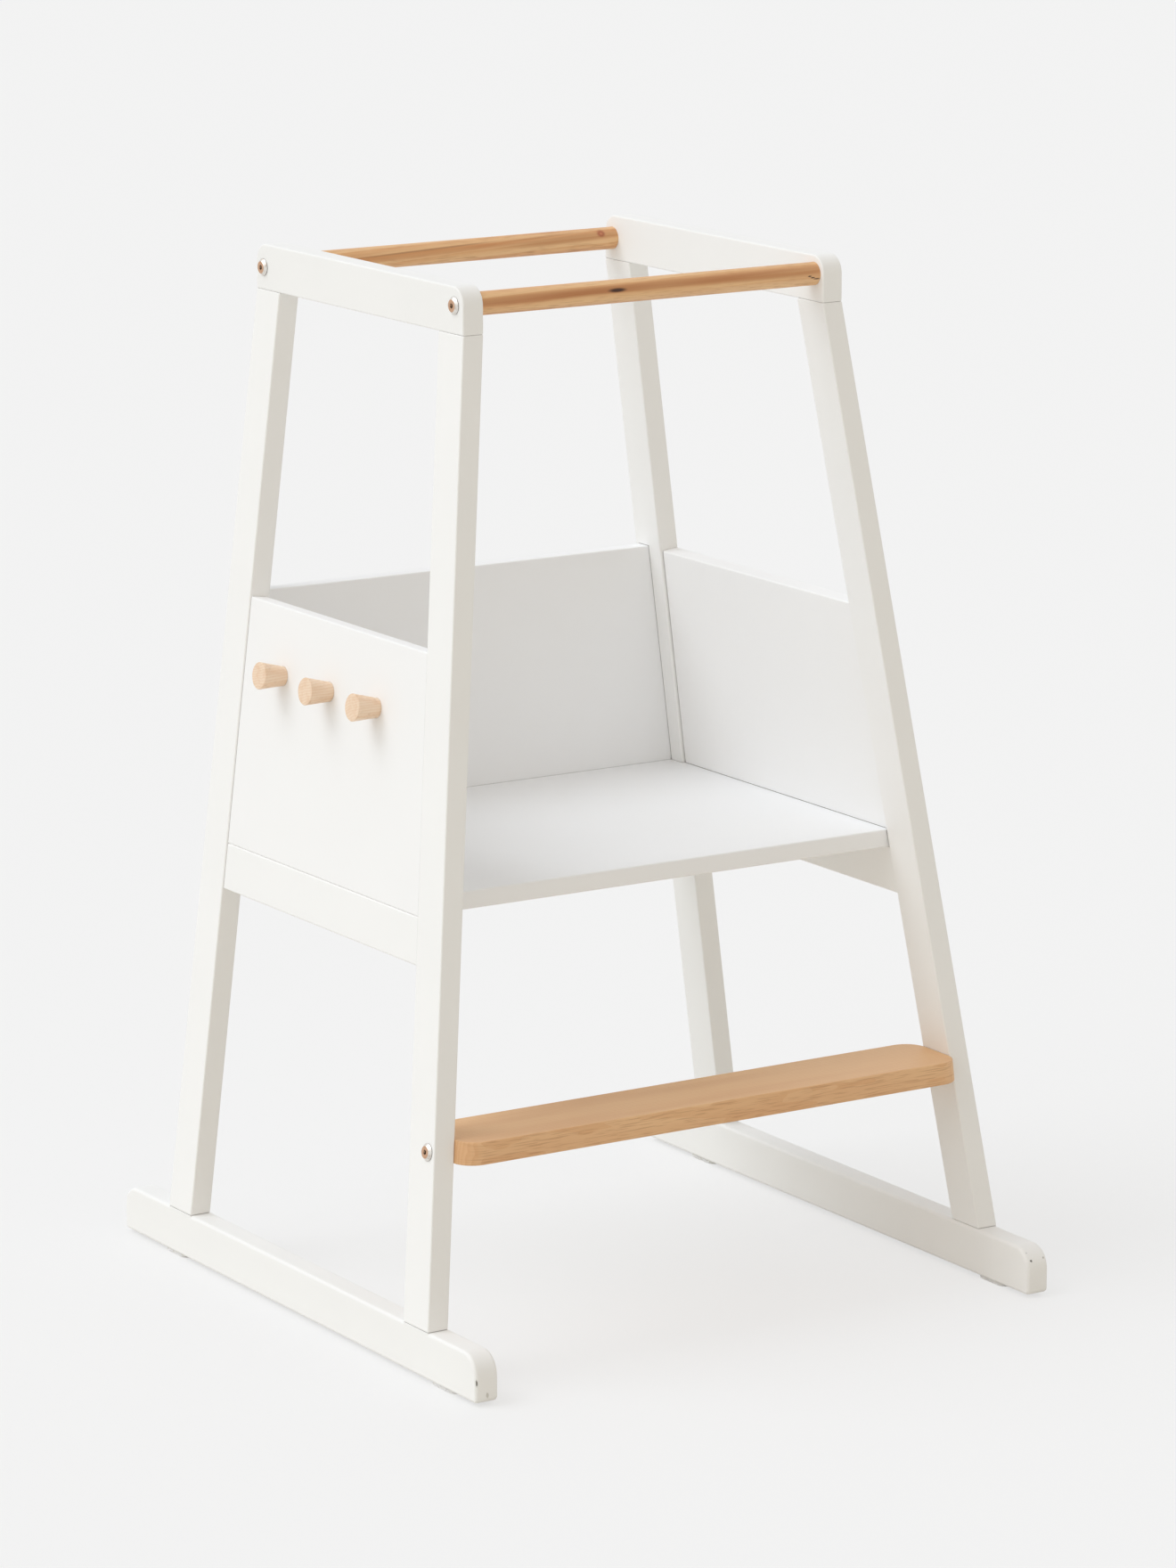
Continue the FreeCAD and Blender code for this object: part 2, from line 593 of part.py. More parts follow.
def make_glide(place):
    """Oblong glide with round ends and two pins driven up into the runner."""
    radius = GLIDE_WIDTH / 2
    straight = GLIDE_LENGTH - GLIDE_WIDTH
    pad = Part.makeBox(GLIDE_WIDTH, straight, GLIDE_HEIGHT, place - Vector(radius, straight / 2, 0))
    for offset in (-straight / 2, straight / 2):
        pad = pad.fuse(rod(place + Y_AXIS * offset, Z_AXIS, GLIDE_WIDTH, GLIDE_HEIGHT))
    pad = pad.removeSplitter()
    pad = pad.makeChamfer(GLIDE_CHAMFER, [edge for edge in pad.Edges if edge.BoundBox.ZMax < 0.01])
    for point in glide_pin_places(place):
        pad = pad.fuse(rod(point, Z_AXIS, GLIDE_PIN_DIAMETER, GLIDE_PIN_LENGTH))
    return pad.removeSplitter()


def glide_holes(place):
    """Holes in the runner for a glide's pins."""
    return [rod(point, Z_AXIS, GLIDE_PIN_DIAMETER, GLIDE_PIN_LENGTH + DOWEL_END_SPACE)
            for point in glide_pin_places(place)]


# ---- the whole tower ----------------------------------------------------------------------------------------

def make_side_frame():
    """The right frame's boards with every hole and groove cut in them, by name."""
    dowel_holes = frame_dowel_holes()
    bar_holes = [bolt_clearance(seat, TO_MIDDLE, FRAME_BOARD) for seat in bar_seats()]
    step_holes = [bolt_clearance(STEP_BOLT_SEAT, INWARD, LEG_THICKNESS), make_step_pin(DOWEL_END_SPACE)]
    leg_ends = (FOOT_LEVEL, RAIL_UNDERSIDE)
    pin_holes = [hole for place in glide_places() for hole in glide_holes(place)]
    return {
        "top_rail": cut_all(make_top_rail(), dowel_holes + bar_holes),
        "runner": cut_all(make_runner(), dowel_holes + pin_holes),
        "front_leg": cut_all(ease_ends(make_front_leg(), leg_ends), dowel_holes + step_holes),
        "rear_leg": cut_all(ease_ends(make_rear_leg(), leg_ends), dowel_holes + [back_panel_groove()]),
        "lower_rail": cut_all(make_lower_rail(), dowel_holes),
        "side_panel": cut_all(make_side_panel(), dowel_holes),
        "frame_dowels": Part.makeCompound(make_frame_dowels()),
    }


def make_tower():
    """Every node of the tower by name."""
    nodes = {}
    frame = make_side_frame()
    for name, shape in frame.items():
        nodes["right_" + name] = shape
        nodes["left_" + name] = mirrored(shape)
    roots = peg_roots()
    nodes["left_side_panel"] = cut_all(nodes["left_side_panel"], [mirrored(peg_hole(root)) for root in roots])
    for name, root in zip(("front_peg", "middle_peg", "rear_peg"), roots):
        nodes[name] = mirrored(make_peg(root))

    nodes["front_grab_bar"] = make_grab_bar(*FRONT_BAR)
    nodes["rear_grab_bar"] = make_grab_bar(*REAR_BAR)
    nodes["bar_bolts"] = Part.makeCompound(both_sides([make_bolt(seat, TO_MIDDLE, FRAME_BOARD)
                                                       for seat in bar_seats()]))
    nodes["bar_inserts"] = Part.makeCompound(both_sides([make_insert(seat + TO_MIDDLE * FRAME_BOARD, TO_MIDDLE)
                                                         for seat in bar_seats()]))
    nodes["back_panel"] = make_back_panel()
    nodes["platform"] = make_platform()
    nodes["platform_dowels"] = Part.makeCompound(make_thin_dowels())
    nodes["front_step"] = make_step()
    nodes["step_bolts"] = Part.makeCompound(both_sides([make_bolt(STEP_BOLT_SEAT, INWARD, LEG_THICKNESS)]))
    nodes["step_inserts"] = Part.makeCompound(both_sides([make_insert(STEP_BOLT_MOUTH, INWARD)]))
    nodes["step_pins"] = Part.makeCompound(both_sides([make_step_pin()]))
    nodes["floor_glides"] = Part.makeCompound(both_sides([make_glide(place) for place in glide_places()]))
    return nodes


def main():
    for name, shape in make_tower().items():
        shape.exportStep("parts/" + name + ".step")
        box = shape.optimalBoundingBox(False)
        print(f"{name}: {len(shape.Solids)} solids, {shape.Volume / 1000:.1f} cm3, valid {shape.isValid()}, "
              f"x {box.XMin:.1f}..{box.XMax:.1f}, y {box.YMin:.1f}..{box.YMax:.1f}, z {box.ZMin:.1f}..{box.ZMax:.1f}")


main()
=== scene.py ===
"""Toddler kitchen helper stool: the finishes of its pieces, and the floor, lights and camera around it."""

import logging
import math
from dataclasses import dataclass
from enum import Enum

import bmesh
import bpy
from mathutils import Matrix, Vector

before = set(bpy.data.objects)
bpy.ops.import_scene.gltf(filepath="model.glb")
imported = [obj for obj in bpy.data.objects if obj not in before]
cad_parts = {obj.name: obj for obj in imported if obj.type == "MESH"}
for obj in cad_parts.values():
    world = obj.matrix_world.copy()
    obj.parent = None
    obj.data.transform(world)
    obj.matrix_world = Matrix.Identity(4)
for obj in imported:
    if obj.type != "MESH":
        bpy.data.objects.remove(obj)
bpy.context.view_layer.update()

log = logging.getLogger("helper_stool")

MM_PER_METRE = 1000.0
WAVE_PERIOD = math.pi / 10.0  # width of one ring of Blender's wave texture at scale 1


class Axis(Enum):
    """The direction in the stool's frame that a board's grain runs along."""

    ACROSS = "x"
    DEPTH = "y"
    UPRIGHT = "z"


def linear(colour: str) -> tuple[float, float, float, float]:
    """Turn an sRGB hex colour into the linear colour that a socket takes.

    Args:
        colour: the colour as "#RRGGBB".

    Returns:
        Red, green, blue and an alpha of 1.
    """
    channels = [int(colour[i:i + 2], 16) / 255.0 for i in (1, 3, 5)]
    red, green, blue = (c / 12.92 if c <= 0.04045 else ((c + 0.055) / 1.055) ** 2.4 for c in channels)
    return red, green, blue, 1.0


def add_node(tree: bpy.types.NodeTree, kind: str, settings: dict | None = None,
             inputs: dict | None = None) -> bpy.types.Node:
    """Add a shader node with its settings and links.

    Args:
        tree: the material's or world's node tree.
        kind: the node's type without its "ShaderNode" prefix.
        settings: the node's own properties by name.
        inputs: values or output sockets by the name or index of the input that takes them.

    Returns:
        The new node.
    """
    node = tree.nodes.new("ShaderNode" + kind)
    for name, value in (settings or {}).items():
        setattr(node, name, value)
    for name, value in (inputs or {}).items():
        if isinstance(value, bpy.types.NodeSocket):
            tree.links.new(value, node.inputs[name])
        else:
            node.inputs[name].default_value = value
    return node


@dataclass(frozen=True)
class Mark:
    """A small mark in a surface: a knot, a crack or a streak in wood, or a chip in lacquer.

    Its centre and half sizes are in mm. The half length is along the grain in wood, and upright in a chip.
    """

    centre: tuple[float, float, float]
    half_length: float
    half_width: float
    colour: str
    strength: float


@dataclass(frozen=True)
class Finish:
    """What every finish shares: a name, and a material built from its own nodes."""

    name: str

    def material(self) -> bpy.types.Material:
        """Build the material.

        Returns:
            A material with one Principled shader that the finish's own nodes feed.
        """
        made = bpy.data.materials.new(self.name)
        made.use_nodes = True
        tree = made.node_tree
        tree.nodes.clear()
        shader = add_node(tree, "BsdfPrincipled")
        add_node(tree, "OutputMaterial", inputs={"Surface": shader.outputs["BSDF"]})
        self.dress(tree, shader)
        return made

    def dress(self, tree: bpy.types.NodeTree, shader: bpy.types.Node) -> None:
        """Feed the shader. Each finish has its own way."""
        raise NotImplementedError

    def millimetres(self, tree: bpy.types.NodeTree) -> bpy.types.NodeSocket:
        """Measure the surface in mm, so that every pattern keeps its real size.

        Args:
            tree: the material's node tree.

        Returns:
            The point in the stool's frame, in mm.
        """
        place = add_node(tree, "TexCoord")
        scaled = add_node(tree, "VectorMath", {"operation": "SCALE"},
                          {0: place.outputs["Object"], "Scale": MM_PER_METRE})
        return scaled.outputs[0]

    def stretched(self, tree: bpy.types.NodeTree, point: bpy.types.NodeSocket,
                  lengths: tuple[float, float, float]) -> bpy.types.NodeSocket:
        """Return the point divided by a length in mm along each axis, so that one unit is one feature."""
        divided = add_node(tree, "VectorMath", {"operation": "DIVIDE"}, {0: point, 1: lengths})
        return divided.outputs[0]

    def along_grain(self, tree: bpy.types.NodeTree, point: bpy.types.NodeSocket,
                    grain: Axis) -> bpy.types.NodeSocket:
        """Turn the point so that the grain runs along its x.

        Args:
            tree: the material's node tree.
            point: the point in mm.
            grain: the direction that the grain runs in.

        Returns:
            The turned point.
        """
        if grain is Axis.ACROSS:
            return point
        parts = add_node(tree, "SeparateXYZ", inputs={0: point}).outputs
        order = (1, 2, 0) if grain is Axis.DEPTH else (2, 0, 1)
        turned = add_node(tree, "CombineXYZ", inputs={i: parts[source] for i, source in enumerate(order)})
        return turned.outputs[0]


@dataclass(frozen=True)
class SprayedLacquer(Finish):
    """White satin lacquer sprayed over sanded beech or board.

    It gives the eye a clean, faintly warm white with a soft sheen, and a thin line of painted shade
    where two boards meet. Under a low light the spray's orange peel and, on solid wood, the long lines of
    the grain under the film can just be seen. Lengths are in mm.
    """

    grain: Axis | None = None
    film: str = "#FBFBFA"
    thin_film: str = "#F7F7F6"
    tone_patch: float = 70.0
    # Painted shade: the next five settings draw a dark line where boards meet.
    painted_joint_shade: str = "#6F6B63"
    painted_shade_reach: float = 1.5  # where another board is this near, the joint gets painted shade
    painted_shade_edge: tuple[float, float] = (0.35, 0.75)  # the open share at which the painted shade line is full, and gone
    painted_shade_strength: float = 0.28
    painted_shade_samples: int = 4
    peel_spacing: float = 2.4  # real peel is nearer 1 mm: drawn coarser so that it shows
    peel_strength: float = 0.05
    grain_length: float = 90.0
    grain_width: float = 1.6  # real pores are 0.1 mm: drawn coarser so that they show
    grain_strength: float = 0.06
    relief_depth: float = 0.2
    roughness: tuple[float, float] = (0.50, 0.60)
    ior: float = 1.48
    chips: tuple[Mark, ...] = ()
    chip_spread: float = 1.6  # the teeth eat into a chip's width, so it starts this much wider
    chip_tooth: tuple[float, float, float] = (1.1, 1.1, 2.2)  # the size of the teeth at a chip's edge
    chip_edge: tuple[float, float] = (1.0, 1.5)  # the reach at which the ground starts to fade, and is gone

    def dress(self, tree: bpy.types.NodeTree, shader: bpy.types.Node) -> None:
        """Feed the shader with the lacquer's tone, sheen, peel, chips and the painted shade in its joints.

        Args:
            tree: the material's node tree.
            shader: its Principled shader.
        """
        point = self.millimetres(tree)
        patch = add_node(tree, "TexNoise", inputs={
            "Vector": self.stretched(tree, point, (self.tone_patch,) * 3), "Scale": 1.0, "Detail": 3.0})
        tone = add_node(tree, "Mix", {"data_type": "RGBA"}, {
            "Factor": patch.outputs["Fac"], 6: linear(self.film), 7: linear(self.thin_film)})
        colour = tone.outputs[2]
        peel = add_node(tree, "TexNoise", inputs={
            "Vector": self.stretched(tree, point, (self.peel_spacing,) * 3), "Scale": 1.0, "Detail": 1.0})
        depth = self.relief_depth / MM_PER_METRE
        relief = add_node(tree, "Bump", inputs={
            "Strength": self.peel_strength, "Distance": depth, "Height": peel.outputs["Fac"]})
        normal = relief.outputs[0]
        if self.grain is not None:
            lined = self.along_grain(tree, point, self.grain)
            size = (self.grain_length, self.grain_width, self.grain_width)
            lines = add_node(tree, "TexNoise", inputs={
                "Vector": self.stretched(tree, lined, size), "Scale": 1.0, "Detail": 3.0, "Roughness": 0.6})
            raised = add_node(tree, "Bump", inputs={
                "Strength": self.grain_strength, "Distance": depth, "Height": lines.outputs["Fac"],
                "Normal": normal})
            normal = raised.outputs[0]
        for spot in self.chips:
            colour = self.chipped(tree, point, colour, spot)
        colour = self.with_painted_joint_shade(tree, colour)
        sheen = add_node(tree, "MapRange", inputs={
            "Value": patch.outputs["Fac"], "To Min": self.roughness[0], "To Max": self.roughness[1]})
        tree.links.new(colour, shader.inputs["Base Color"])
        tree.links.new(sheen.outputs[0], shader.inputs["Roughness"])
        tree.links.new(normal, shader.inputs["Normal"])
        shader.inputs["IOR"].default_value = self.ior

    def with_painted_joint_shade(self, tree: bpy.types.NodeTree, colour: bpy.types.NodeSocket) -> bpy.types.NodeSocket:
        """Paint shade as a thin dark line where two boards meet, darkest where the place is most closed in.

        Args:
            tree: the material's node tree.
            colour: the colour so far.

        Returns:
            The colour with the painted joint shade in it.
        """
        # Painted shade: the less open the place, the more the joint's dark colour covers the lacquer.
        open_share = add_node(tree, "AmbientOcclusion", {"samples": self.painted_shade_samples}, {
            "Distance": self.painted_shade_reach / MM_PER_METRE}).outputs["AO"]
        painted_shade_mask = add_node(tree, "MapRange", inputs={
            "Value": open_share, "From Min": self.painted_shade_edge[0], "From Max": self.painted_shade_edge[1],
            "To Min": self.painted_shade_strength, "To Max": 0.0})
        return add_node(tree, "Mix", {"data_type": "RGBA"}, {
            "Factor": painted_shade_mask.outputs[0], 6: colour, 7: linear(self.painted_joint_shade)}).outputs[2]

    def chipped(self, tree: bpy.types.NodeTree, point: bpy.types.NodeSocket,
                colour: bpy.types.NodeSocket, spot: Mark) -> bpy.types.NodeSocket:
        """Show the dark ground through the film at one ragged chip.

        Args:
            tree: the material's node tree.
            point: the point in mm.
            colour: the colour so far.
            spot: the chip's place and size.

        Returns:
            The colour with the chip in it.
        """
        away = add_node(tree, "VectorMath", {"operation": "SUBTRACT"}, {0: point, 1: spot.centre})
        wide = spot.half_width * self.chip_spread
        size = (wide, wide, spot.half_length)
        reach = add_node(tree, "VectorMath", {"operation": "LENGTH"},
                         {0: self.stretched(tree, away.outputs[0], size)})
        ragged = add_node(tree, "TexNoise", inputs={
            "Vector": self.stretched(tree, point, self.chip_tooth), "Scale": 1.0, "Detail": 2.0})
        edge = add_node(tree, "Math", {"operation": "ADD"}, {0: reach.outputs[1], 1: ragged.outputs["Fac"]})
        inside = add_node(tree, "MapRange", {"interpolation_type": "SMOOTHSTEP"}, {
            "Value": edge.outputs[0], "From Min": self.chip_edge[0], "From Max": self.chip_edge[1],
            "To Min": spot.strength, "To Max": 0.0})
        mixed = add_node(tree, "Mix", {"data_type": "RGBA"}, {
            "Factor": inside.outputs[0], 6: colour, 7: linear(spot.colour)})
        return mixed.outputs[2]


@dataclass(frozen=True)
class OiledBeech(Finish):
    """Steamed European beech, planed or turned, sanded and rubbed with clear oil.

    It gives the eye a warm tan with soft growth rings and redder bands that run a little off the
    piece's axis. Beech's rays run out from the log's middle: where a face cuts across them they show
    as short dark dashes, and where it runs along them it looks almost plain. Lengths are in mm, a size
    has its length along the piece first, and an edge is the two levels between which a pattern rises
    from nothing to full.
    """

    early_wood: str = "#F4CB9C"
    late_wood: str = "#DFA56F"
    band: str = "#C98150"
    fleck: str = "#9A5A31"
    pith: tuple[float, float] = (-400.0, 190.0)  # the depth and height of the log's middle
    log_radius: float = 220.0  # from the pith to the piece
    slope: float = 0.0  # how far the grain rises for each mm along the piece
    ring_width: float = 3.2
    ring_edge: tuple[float, float] = (0.2, 1.0)
    waver: float = 9.0  # how far the rings stray from true circles
    waver_size: tuple[float, float, float] = (170.0, 26.0, 26.0)
    fibre_size: tuple[float, float, float] = (60.0, 0.9, 0.9)  # real vessels are 0.1 mm: drawn coarser
    fibre_strength: float = 0.10
    band_length: float = 260.0
    band_width: float = 8.0
    band_edge: tuple[float, float] = (0.40, 0.70)
    band_amount: float = 0.7
    # Real flecks are 1 to 3 mm long and 0.2 mm thick: they are drawn coarser so that they show.
    fleck_size: tuple[float, float, float] = (15.0, 16.0, 0.85)  # along, out from the pith and round it
    fleck_edge: tuple[float, float] = (0.48, 0.72)
    fleck_amount: float = 0.5
    fleck_fade: float = 2.0  # the power by which a fleck fades as the face turns along the rays
    fleck_strength: float = 0.25
    relief_depth: float = 0.1
    roughness: tuple[float, float] = (0.42, 0.56)
    ior: float = 1.47
    streaks: tuple[Mark, ...] = ()
    knots: tuple[Mark, ...] = ()
    knot_depth: float = 3.0  # how many times deeper than high a knot is
    knot_edge: tuple[float, float] = (0.45, 1.25)  # the reach at which a knot starts to fade, and is gone

    def dress(self, tree: bpy.types.NodeTree, shader: bpy.types.Node) -> None:
        """Feed the shader with the rings, bands, flecks, knots and sheen.

        Args:
            tree: the material's node tree.
            shader: its Principled shader.
        """
        point = self.millimetres(tree)
        leaning = self.leaned(tree, point)
        waver = add_node(tree, "TexNoise", inputs={
            "Vector": self.stretched(tree, leaning, self.waver_size), "Scale": 1.0, "Detail": 3.0})
        centred = add_node(tree, "VectorMath", {"operation": "SUBTRACT"},
                           {0: waver.outputs["Color"], 1: (0.5, 0.5, 0.5)})
        bent = add_node(tree, "VectorMath", {"operation": "MULTIPLY_ADD"}, {
            0: centred.outputs[0], 1: (0.0, self.waver, self.waver), 2: leaning}).outputs[0]
        fibre = add_node(tree, "TexNoise", inputs={
            "Vector": self.stretched(tree, bent, self.fibre_size), "Scale": 1.0, "Detail": 3.0,
            "Roughness": 0.65}).outputs["Fac"]
        colour = self.banded(tree, bent, self.ringed(tree, bent, fibre))
        for streak in self.streaks:
            colour = self.knotted(tree, leaning, colour, streak)
        cut_rays = self.ray_ends(tree, leaning)
        colour = add_node(tree, "Mix", {"data_type": "RGBA"}, {
            "Factor": cut_rays, 6: colour, 7: linear(self.fleck)}).outputs[2]
        for knot in self.knots:
            colour = self.knotted(tree, point, colour, knot)
        sheen = add_node(tree, "MapRange", inputs={
            "Value": fibre, "To Min": self.roughness[0], "To Max": self.roughness[1]})
        depth = self.relief_depth / MM_PER_METRE
        pores = add_node(tree, "Bump", {"invert": True}, {
            "Strength": self.fleck_strength, "Distance": depth, "Height": cut_rays})
        planed = add_node(tree, "Bump", inputs={
            "Strength": self.fibre_strength, "Distance": depth, "Height": fibre, "Normal": pores.outputs[0]})
        tree.links.new(colour, shader.inputs["Base Color"])
        tree.links.new(sheen.outputs[0], shader.inputs["Roughness"])
        tree.links.new(planed.outputs[0], shader.inputs["Normal"])
        shader.inputs["IOR"].default_value = self.ior

    def leaned(self, tree: bpy.types.NodeTree, point: bpy.types.NodeSocket) -> bpy.types.NodeSocket:
        """Let the grain rise along the piece by its slope.

        Args:
            tree: the material's node tree.
            point: the point in mm.

        Returns:
            The point, dropped by as much as the grain has risen there.
        """
        along = add_node(tree, "SeparateXYZ", inputs={0: point}).outputs[0]
        fall = add_node(tree, "Math", {"operation": "MULTIPLY"}, {0: along, 1: -self.slope}).outputs[0]
        drop = add_node(tree, "CombineXYZ", inputs={0: 0.0, 1: 0.0, 2: fall}).outputs[0]
        return add_node(tree, "VectorMath", {"operation": "ADD"}, {0: point, 1: drop}).outputs[0]

    def from_pith(self, tree: bpy.types.NodeTree, point: bpy.types.NodeSocket) -> bpy.types.NodeSocket:
        """Return the point measured from the log's middle."""
        return add_node(tree, "VectorMath", {"operation": "SUBTRACT"},
                        {0: point, 1: (0.0, *self.pith)}).outputs[0]

    def ringed(self, tree: bpy.types.NodeTree, bent: bpy.types.NodeSocket,
               fibre: bpy.types.NodeSocket) -> bpy.types.NodeSocket:
        """Draw the growth rings, broken up by the fibres.

        Args:
            tree: the material's node tree.
            bent: the point in mm, with the wood's waver in it.
            fibre: how dark the fibres are.

        Returns:
            The wood's colour with its rings.
        """
        rings = add_node(tree, "TexWave", {
            "wave_type": "RINGS", "rings_direction": "X", "wave_profile": "SAW"}, {
            "Vector": self.from_pith(tree, bent), "Scale": WAVE_PERIOD / self.ring_width, "Distortion": 0.0})
        rise = add_node(tree, "MapRange", {"interpolation_type": "SMOOTHSTEP"}, {
            "Value": rings.outputs["Fac"], "From Min": self.ring_edge[0], "From Max": self.ring_edge[1]})
        tone = add_node(tree, "Math", {"operation": "MULTIPLY"}, {0: rise.outputs[0], 1: fibre})
        return add_node(tree, "Mix", {"data_type": "RGBA"}, {
            "Factor": tone.outputs[0], 6: linear(self.early_wood), 7: linear(self.late_wood)}).outputs[2]

    def banded(self, tree: bpy.types.NodeTree, bent: bpy.types.NodeSocket,
               colour: bpy.types.NodeSocket) -> bpy.types.NodeSocket:
        """Draw the long redder bands of steamed beech.

        Args:
            tree: the material's node tree.
            bent: the point in mm, with the wood's waver in it.
            colour: the colour so far.

        Returns:
            The colour with the bands in it.
        """
        band = add_node(tree, "TexNoise", inputs={
            "Vector": self.stretched(tree, bent, (self.band_length, self.band_width, self.band_width)),
            "Scale": 1.0, "Detail": 2.0})
        mask = add_node(tree, "MapRange", {"interpolation_type": "SMOOTHSTEP"}, {
            "Value": band.outputs["Fac"], "From Min": self.band_edge[0], "From Max": self.band_edge[1],
            "To Max": self.band_amount})
        return add_node(tree, "Mix", {"data_type": "RGBA"}, {
            "Factor": mask.outputs[0], 6: colour, 7: linear(self.band)}).outputs[2]

    def ray_ends(self, tree: bpy.types.NodeTree, point: bpy.types.NodeSocket) -> bpy.types.NodeSocket:
        """Work out the flecks: thin ribbons out from the pith, dark where a face cuts across them.

        Args:
            tree: the material's node tree.
            point: the point in mm.

        Returns:
            How dark the flecks are.
        """
        out = self.from_pith(tree, point)
        parts = add_node(tree, "SeparateXYZ", inputs={0: out}).outputs
        flat = add_node(tree, "CombineXYZ", inputs={1: parts[1], 2: parts[2]}).outputs[0]
        far = add_node(tree, "VectorMath", {"operation": "LENGTH"}, {0: flat}).outputs[1]
        turn = add_node(tree, "Math", {"operation": "ARCTAN2"}, {0: parts[2], 1: parts[1]})
        around = add_node(tree, "Math", {"operation": "MULTIPLY"}, {0: turn.outputs[0], 1: self.log_radius})
        ribbon = add_node(tree, "CombineXYZ", inputs={0: parts[0], 1: far, 2: around.outputs[0]}).outputs[0]
        rays = add_node(tree, "TexNoise", inputs={
            "Vector": self.stretched(tree, ribbon, self.fleck_size), "Scale": 1.0, "Detail": 1.0})
        mask = add_node(tree, "MapRange", {"interpolation_type": "SMOOTHSTEP"}, {
            "Value": rays.outputs["Fac"], "From Min": self.fleck_edge[0], "From Max": self.fleck_edge[1],
            "To Max": self.fleck_amount})
        outward = add_node(tree, "VectorMath", {"operation": "NORMALIZE"}, {0: flat}).outputs[0]
        facing = add_node(tree, "VectorMath", {"operation": "DOT_PRODUCT"}, {
            0: add_node(tree, "TexCoord").outputs["Normal"], 1: outward}).outputs[1]
        square = add_node(tree, "Math", {"operation": "ABSOLUTE"}, {0: facing}).outputs[0]
        across = add_node(tree, "Math", {"operation": "POWER"}, {0: square, 1: self.fleck_fade})
        return add_node(tree, "Math", {"operation": "MULTIPLY"}, {
            0: mask.outputs[0], 1: across.outputs[0]}).outputs[0]

    def knotted(self, tree: bpy.types.NodeTree, point: bpy.types.NodeSocket,
                colour: bpy.types.NodeSocket, knot: Mark) -> bpy.types.NodeSocket:
        """Colour the wood at one knot, crack or streak, long along the grain.

        Args:
            tree: the material's node tree.
            point: the point in mm.
            colour: the colour so far.
            knot: the mark's place, size and colour.

        Returns:
            The colour with the mark in it.
        """
        away = add_node(tree, "VectorMath", {"operation": "SUBTRACT"}, {0: point, 1: knot.centre})
        size = (knot.half_length, knot.half_width * self.knot_depth, knot.half_width)
        reach = add_node(tree, "VectorMath", {"operation": "LENGTH"},
                         {0: self.stretched(tree, away.outputs[0], size)})
        inside = add_node(tree, "MapRange", {"interpolation_type": "SMOOTHSTEP"}, {
            "Value": reach.outputs[1], "From Min": self.knot_edge[0], "From Max": self.knot_edge[1],
            "To Min": knot.strength, "To Max": 0.0})
        mixed = add_node(tree, "Mix", {"data_type": "RGBA"}, {
            "Factor": inside.outputs[0], 6: colour, 7: linear(knot.colour)})
        return mixed.outputs[2]


